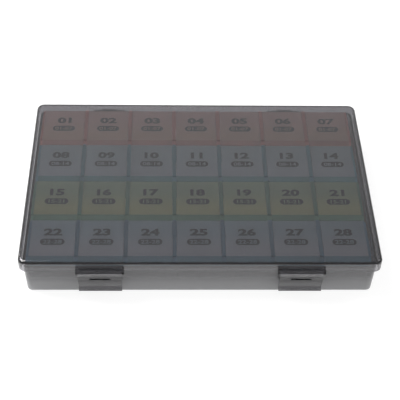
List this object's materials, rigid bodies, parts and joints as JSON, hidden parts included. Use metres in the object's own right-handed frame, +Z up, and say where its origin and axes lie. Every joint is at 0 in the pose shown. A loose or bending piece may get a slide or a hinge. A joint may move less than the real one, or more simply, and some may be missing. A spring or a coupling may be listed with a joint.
{
  "type": "travel pill organizer",
  "caption": "Shallow hinged smoke-clear case with front snap latches, holding removable weekly trays with a hinged lid over each day's compartment.",
  "frame": {"origin": "centre of the case lid's outline, on the plane of the case's flat underside", "axes": "+X along the length to the right as seen from the latches, +Y towards the case hinge, +Z up"},
  "size_m": [0.226, 0.1589, 0.0307],
  "materials": {
    "smoke_plastic": "clear smoke-grey moulded plastic, glossy",
    "latch_plastic": "clear smoke-grey moulded plastic, glossy",
    "hinge_steel": "drawn steel rod",
    "tray_coral": "translucent orange-coral plastic",
    "tray_teal": "translucent teal-blue plastic",
    "tray_lime": "translucent lime-green plastic",
    "tray_blue": "translucent blue plastic",
    "lid_coral": "milky orange-coral plastic with printed day and week",
    "lid_teal": "milky teal plastic with printed day and week",
    "lid_lime": "milky lime plastic with printed day and week",
    "lid_blue": "milky blue plastic with printed day and week",
    "label_ink": "dark printing ink of the day and week labels"
  },
  "bodies": {
    "base": {"case_base": "smoke_plastic", "left_hinge_pin": "hinge_steel", "right_hinge_pin": "hinge_steel", "week_1_tray": "tray_coral", "week_2_tray": "tray_teal", "week_3_tray": "tray_lime", "week_4_tray": "tray_blue"},
    "lid": {"case_lid": "smoke_plastic"},
    "left_latch": {"left_latch": "latch_plastic"},
    "right_latch": {"right_latch": "latch_plastic"},
    "week_1_sun_lid": {"week_1_sun_lid": "lid_coral"},
    "week_1_mon_lid": {"week_1_mon_lid": "lid_coral"},
    "week_1_tue_lid": {"week_1_tue_lid": "lid_coral"},
    "week_1_wed_lid": {"week_1_wed_lid": "lid_coral"},
    "week_1_thu_lid": {"week_1_thu_lid": "lid_coral"},
    "week_1_fri_lid": {"week_1_fri_lid": "lid_coral"},
    "week_1_sat_lid": {"week_1_sat_lid": "lid_coral"},
    "week_2_sun_lid": {"week_2_sun_lid": "lid_teal"},
    "week_2_mon_lid": {"week_2_mon_lid": "lid_teal"},
    "week_2_tue_lid": {"week_2_tue_lid": "lid_teal"},
    "week_2_wed_lid": {"week_2_wed_lid": "lid_teal"},
    "week_2_thu_lid": {"week_2_thu_lid": "lid_teal"},
    "week_2_fri_lid": {"week_2_fri_lid": "lid_teal"},
    "week_2_sat_lid": {"week_2_sat_lid": "lid_teal"},
    "week_3_sun_lid": {"week_3_sun_lid": "lid_lime"},
    "week_3_mon_lid": {"week_3_mon_lid": "lid_lime"},
    "week_3_tue_lid": {"week_3_tue_lid": "lid_lime"},
    "week_3_wed_lid": {"week_3_wed_lid": "lid_lime"},
    "week_3_thu_lid": {"week_3_thu_lid": "lid_lime"},
    "week_3_fri_lid": {"week_3_fri_lid": "lid_lime"},
    "week_3_sat_lid": {"week_3_sat_lid": "lid_lime"},
    "week_4_sun_lid": {"week_4_sun_lid": "lid_blue"},
    "week_4_mon_lid": {"week_4_mon_lid": "lid_blue"},
    "week_4_tue_lid": {"week_4_tue_lid": "lid_blue"},
    "week_4_wed_lid": {"week_4_wed_lid": "lid_blue"},
    "week_4_thu_lid": {"week_4_thu_lid": "lid_blue"},
    "week_4_fri_lid": {"week_4_fri_lid": "lid_blue"},
    "week_4_sat_lid": {"week_4_sat_lid": "lid_blue"}
  },
  "joints": [
    {"name": "lid_hinge", "type": "hinge", "parent": "base", "child": "lid", "pos_m": [0, 0.07755, 0.0201], "axis": [-1, 0, 0], "range_deg": [0, 180]},
    {"name": "left_latch_hinge", "type": "hinge", "parent": "lid", "child": "left_latch", "pos_m": [-0.0625, -0.07755, 0.0243], "axis": [-1, 0, 0], "range_deg": [0, 120]},
    {"name": "right_latch_hinge", "type": "hinge", "parent": "lid", "child": "right_latch", "pos_m": [0.0625, -0.07755, 0.0243], "axis": [-1, 0, 0], "range_deg": [0, 120]},
    {"name": "week_1_sun_hinge", "type": "hinge", "parent": "base", "child": "week_1_sun_lid", "pos_m": [-0.09298, 0.06948, 0.02625], "axis": [-1, 0, 0], "range_deg": [0, 100]},
    {"name": "week_1_mon_hinge", "type": "hinge", "parent": "base", "child": "week_1_mon_lid", "pos_m": [-0.06229, 0.06948, 0.02625], "axis": [-1, 0, 0], "range_deg": [0, 100]},
    {"name": "week_1_tue_hinge", "type": "hinge", "parent": "base", "child": "week_1_tue_lid", "pos_m": [-0.03159, 0.06948, 0.02625], "axis": [-1, 0, 0], "range_deg": [0, 100]},
    {"name": "week_1_wed_hinge", "type": "hinge", "parent": "base", "child": "week_1_wed_lid", "pos_m": [-0.0009, 0.06948, 0.02625], "axis": [-1, 0, 0], "range_deg": [0, 100]},
    {"name": "week_1_thu_hinge", "type": "hinge", "parent": "base", "child": "week_1_thu_lid", "pos_m": [0.02979, 0.06948, 0.02625], "axis": [-1, 0, 0], "range_deg": [0, 100]},
    {"name": "week_1_fri_hinge", "type": "hinge", "parent": "base", "child": "week_1_fri_lid", "pos_m": [0.06049, 0.06948, 0.02625], "axis": [-1, 0, 0], "range_deg": [0, 100]},
    {"name": "week_1_sat_hinge", "type": "hinge", "parent": "base", "child": "week_1_sat_lid", "pos_m": [0.09118, 0.06948, 0.02625], "axis": [-1, 0, 0], "range_deg": [0, 100]},
    {"name": "week_2_sun_hinge", "type": "hinge", "parent": "base", "child": "week_2_sun_lid", "pos_m": [-0.09298, 0.03389, 0.02625], "axis": [-1, 0, 0], "range_deg": [0, 100]},
    {"name": "week_2_mon_hinge", "type": "hinge", "parent": "base", "child": "week_2_mon_lid", "pos_m": [-0.06229, 0.03389, 0.02625], "axis": [-1, 0, 0], "range_deg": [0, 100]},
    {"name": "week_2_tue_hinge", "type": "hinge", "parent": "base", "child": "week_2_tue_lid", "pos_m": [-0.03159, 0.03389, 0.02625], "axis": [-1, 0, 0], "range_deg": [0, 100]},
    {"name": "week_2_wed_hinge", "type": "hinge", "parent": "base", "child": "week_2_wed_lid", "pos_m": [-0.0009, 0.03389, 0.02625], "axis": [-1, 0, 0], "range_deg": [0, 100]},
    {"name": "week_2_thu_hinge", "type": "hinge", "parent": "base", "child": "week_2_thu_lid", "pos_m": [0.02979, 0.03389, 0.02625], "axis": [-1, 0, 0], "range_deg": [0, 100]},
    {"name": "week_2_fri_hinge", "type": "hinge", "parent": "base", "child": "week_2_fri_lid", "pos_m": [0.06049, 0.03389, 0.02625], "axis": [-1, 0, 0], "range_deg": [0, 100]},
    {"name": "week_2_sat_hinge", "type": "hinge", "parent": "base", "child": "week_2_sat_lid", "pos_m": [0.09118, 0.03389, 0.02625], "axis": [-1, 0, 0], "range_deg": [0, 100]},
    {"name": "week_3_sun_hinge", "type": "hinge", "parent": "base", "child": "week_3_sun_lid", "pos_m": [-0.09298, -0.0017, 0.02625], "axis": [-1, 0, 0], "range_deg": [0, 100]},
    {"name": "week_3_mon_hinge", "type": "hinge", "parent": "base", "child": "week_3_mon_lid", "pos_m": [-0.06229, -0.0017, 0.02625], "axis": [-1, 0, 0], "range_deg": [0, 100]},
    {"name": "week_3_tue_hinge", "type": "hinge", "parent": "base", "child": "week_3_tue_lid", "pos_m": [-0.03159, -0.0017, 0.02625], "axis": [-1, 0, 0], "range_deg": [0, 100]},
    {"name": "week_3_wed_hinge", "type": "hinge", "parent": "base", "child": "week_3_wed_lid", "pos_m": [-0.0009, -0.0017, 0.02625], "axis": [-1, 0, 0], "range_deg": [0, 100]},
    {"name": "week_3_thu_hinge", "type": "hinge", "parent": "base", "child": "week_3_thu_lid", "pos_m": [0.02979, -0.0017, 0.02625], "axis": [-1, 0, 0], "range_deg": [0, 100]},
    {"name": "week_3_fri_hinge", "type": "hinge", "parent": "base", "child": "week_3_fri_lid", "pos_m": [0.06049, -0.0017, 0.02625], "axis": [-1, 0, 0], "range_deg": [0, 100]},
    {"name": "week_3_sat_hinge", "type": "hinge", "parent": "base", "child": "week_3_sat_lid", "pos_m": [0.09118, -0.0017, 0.02625], "axis": [-1, 0, 0], "range_deg": [0, 100]},
    {"name": "week_4_sun_hinge", "type": "hinge", "parent": "base", "child": "week_4_sun_lid", "pos_m": [-0.09298, -0.03729, 0.02625], "axis": [-1, 0, 0], "range_deg": [0, 100]},
    {"name": "week_4_mon_hinge", "type": "hinge", "parent": "base", "child": "week_4_mon_lid", "pos_m": [-0.06229, -0.03729, 0.02625], "axis": [-1, 0, 0], "range_deg": [0, 100]},
    {"name": "week_4_tue_hinge", "type": "hinge", "parent": "base", "child": "week_4_tue_lid", "pos_m": [-0.03159, -0.03729, 0.02625], "axis": [-1, 0, 0], "range_deg": [0, 100]},
    {"name": "week_4_wed_hinge", "type": "hinge", "parent": "base", "child": "week_4_wed_lid", "pos_m": [-0.0009, -0.03729, 0.02625], "axis": [-1, 0, 0], "range_deg": [0, 100]},
    {"name": "week_4_thu_hinge", "type": "hinge", "parent": "base", "child": "week_4_thu_lid", "pos_m": [0.02979, -0.03729, 0.02625], "axis": [-1, 0, 0], "range_deg": [0, 100]},
    {"name": "week_4_fri_hinge", "type": "hinge", "parent": "base", "child": "week_4_fri_lid", "pos_m": [0.06049, -0.03729, 0.02625], "axis": [-1, 0, 0], "range_deg": [0, 100]},
    {"name": "week_4_sat_hinge", "type": "hinge", "parent": "base", "child": "week_4_sat_lid", "pos_m": [0.09118, -0.03729, 0.02625], "axis": [-1, 0, 0], "range_deg": [0, 100]}
  ],
  "couplings": [
    {"joint": "week_1_sun_hinge", "follows": "lid_hinge", "ratio": 0.55556},
    {"joint": "week_1_mon_hinge", "follows": "lid_hinge", "ratio": 0.55556},
    {"joint": "week_1_tue_hinge", "follows": "lid_hinge", "ratio": 0.55556},
    {"joint": "week_1_wed_hinge", "follows": "lid_hinge", "ratio": 0.55556},
    {"joint": "week_1_thu_hinge", "follows": "lid_hinge", "ratio": 0.55556},
    {"joint": "week_1_fri_hinge", "follows": "lid_hinge", "ratio": 0.55556},
    {"joint": "week_1_sat_hinge", "follows": "lid_hinge", "ratio": 0.55556},
    {"joint": "week_2_sun_hinge", "follows": "lid_hinge", "ratio": 0.55556},
    {"joint": "week_2_mon_hinge", "follows": "lid_hinge", "ratio": 0.55556},
    {"joint": "week_2_tue_hinge", "follows": "lid_hinge", "ratio": 0.55556},
    {"joint": "week_2_wed_hinge", "follows": "lid_hinge", "ratio": 0.55556},
    {"joint": "week_2_thu_hinge", "follows": "lid_hinge", "ratio": 0.55556},
    {"joint": "week_2_fri_hinge", "follows": "lid_hinge", "ratio": 0.55556},
    {"joint": "week_2_sat_hinge", "follows": "lid_hinge", "ratio": 0.55556},
    {"joint": "week_3_sun_hinge", "follows": "lid_hinge", "ratio": 0.55556},
    {"joint": "week_3_mon_hinge", "follows": "lid_hinge", "ratio": 0.55556},
    {"joint": "week_3_tue_hinge", "follows": "lid_hinge", "ratio": 0.55556},
    {"joint": "week_3_wed_hinge", "follows": "lid_hinge", "ratio": 0.55556},
    {"joint": "week_3_thu_hinge", "follows": "lid_hinge", "ratio": 0.55556},
    {"joint": "week_3_fri_hinge", "follows": "lid_hinge", "ratio": 0.55556},
    {"joint": "week_3_sat_hinge", "follows": "lid_hinge", "ratio": 0.55556},
    {"joint": "week_4_sun_hinge", "follows": "lid_hinge", "ratio": 0.55556},
    {"joint": "week_4_mon_hinge", "follows": "lid_hinge", "ratio": 0.55556},
    {"joint": "week_4_tue_hinge", "follows": "lid_hinge", "ratio": 0.55556},
    {"joint": "week_4_wed_hinge", "follows": "lid_hinge", "ratio": 0.55556},
    {"joint": "week_4_thu_hinge", "follows": "lid_hinge", "ratio": 0.55556},
    {"joint": "week_4_fri_hinge", "follows": "lid_hinge", "ratio": 0.55556},
    {"joint": "week_4_sat_hinge", "follows": "lid_hinge", "ratio": 0.55556}
  ]
}
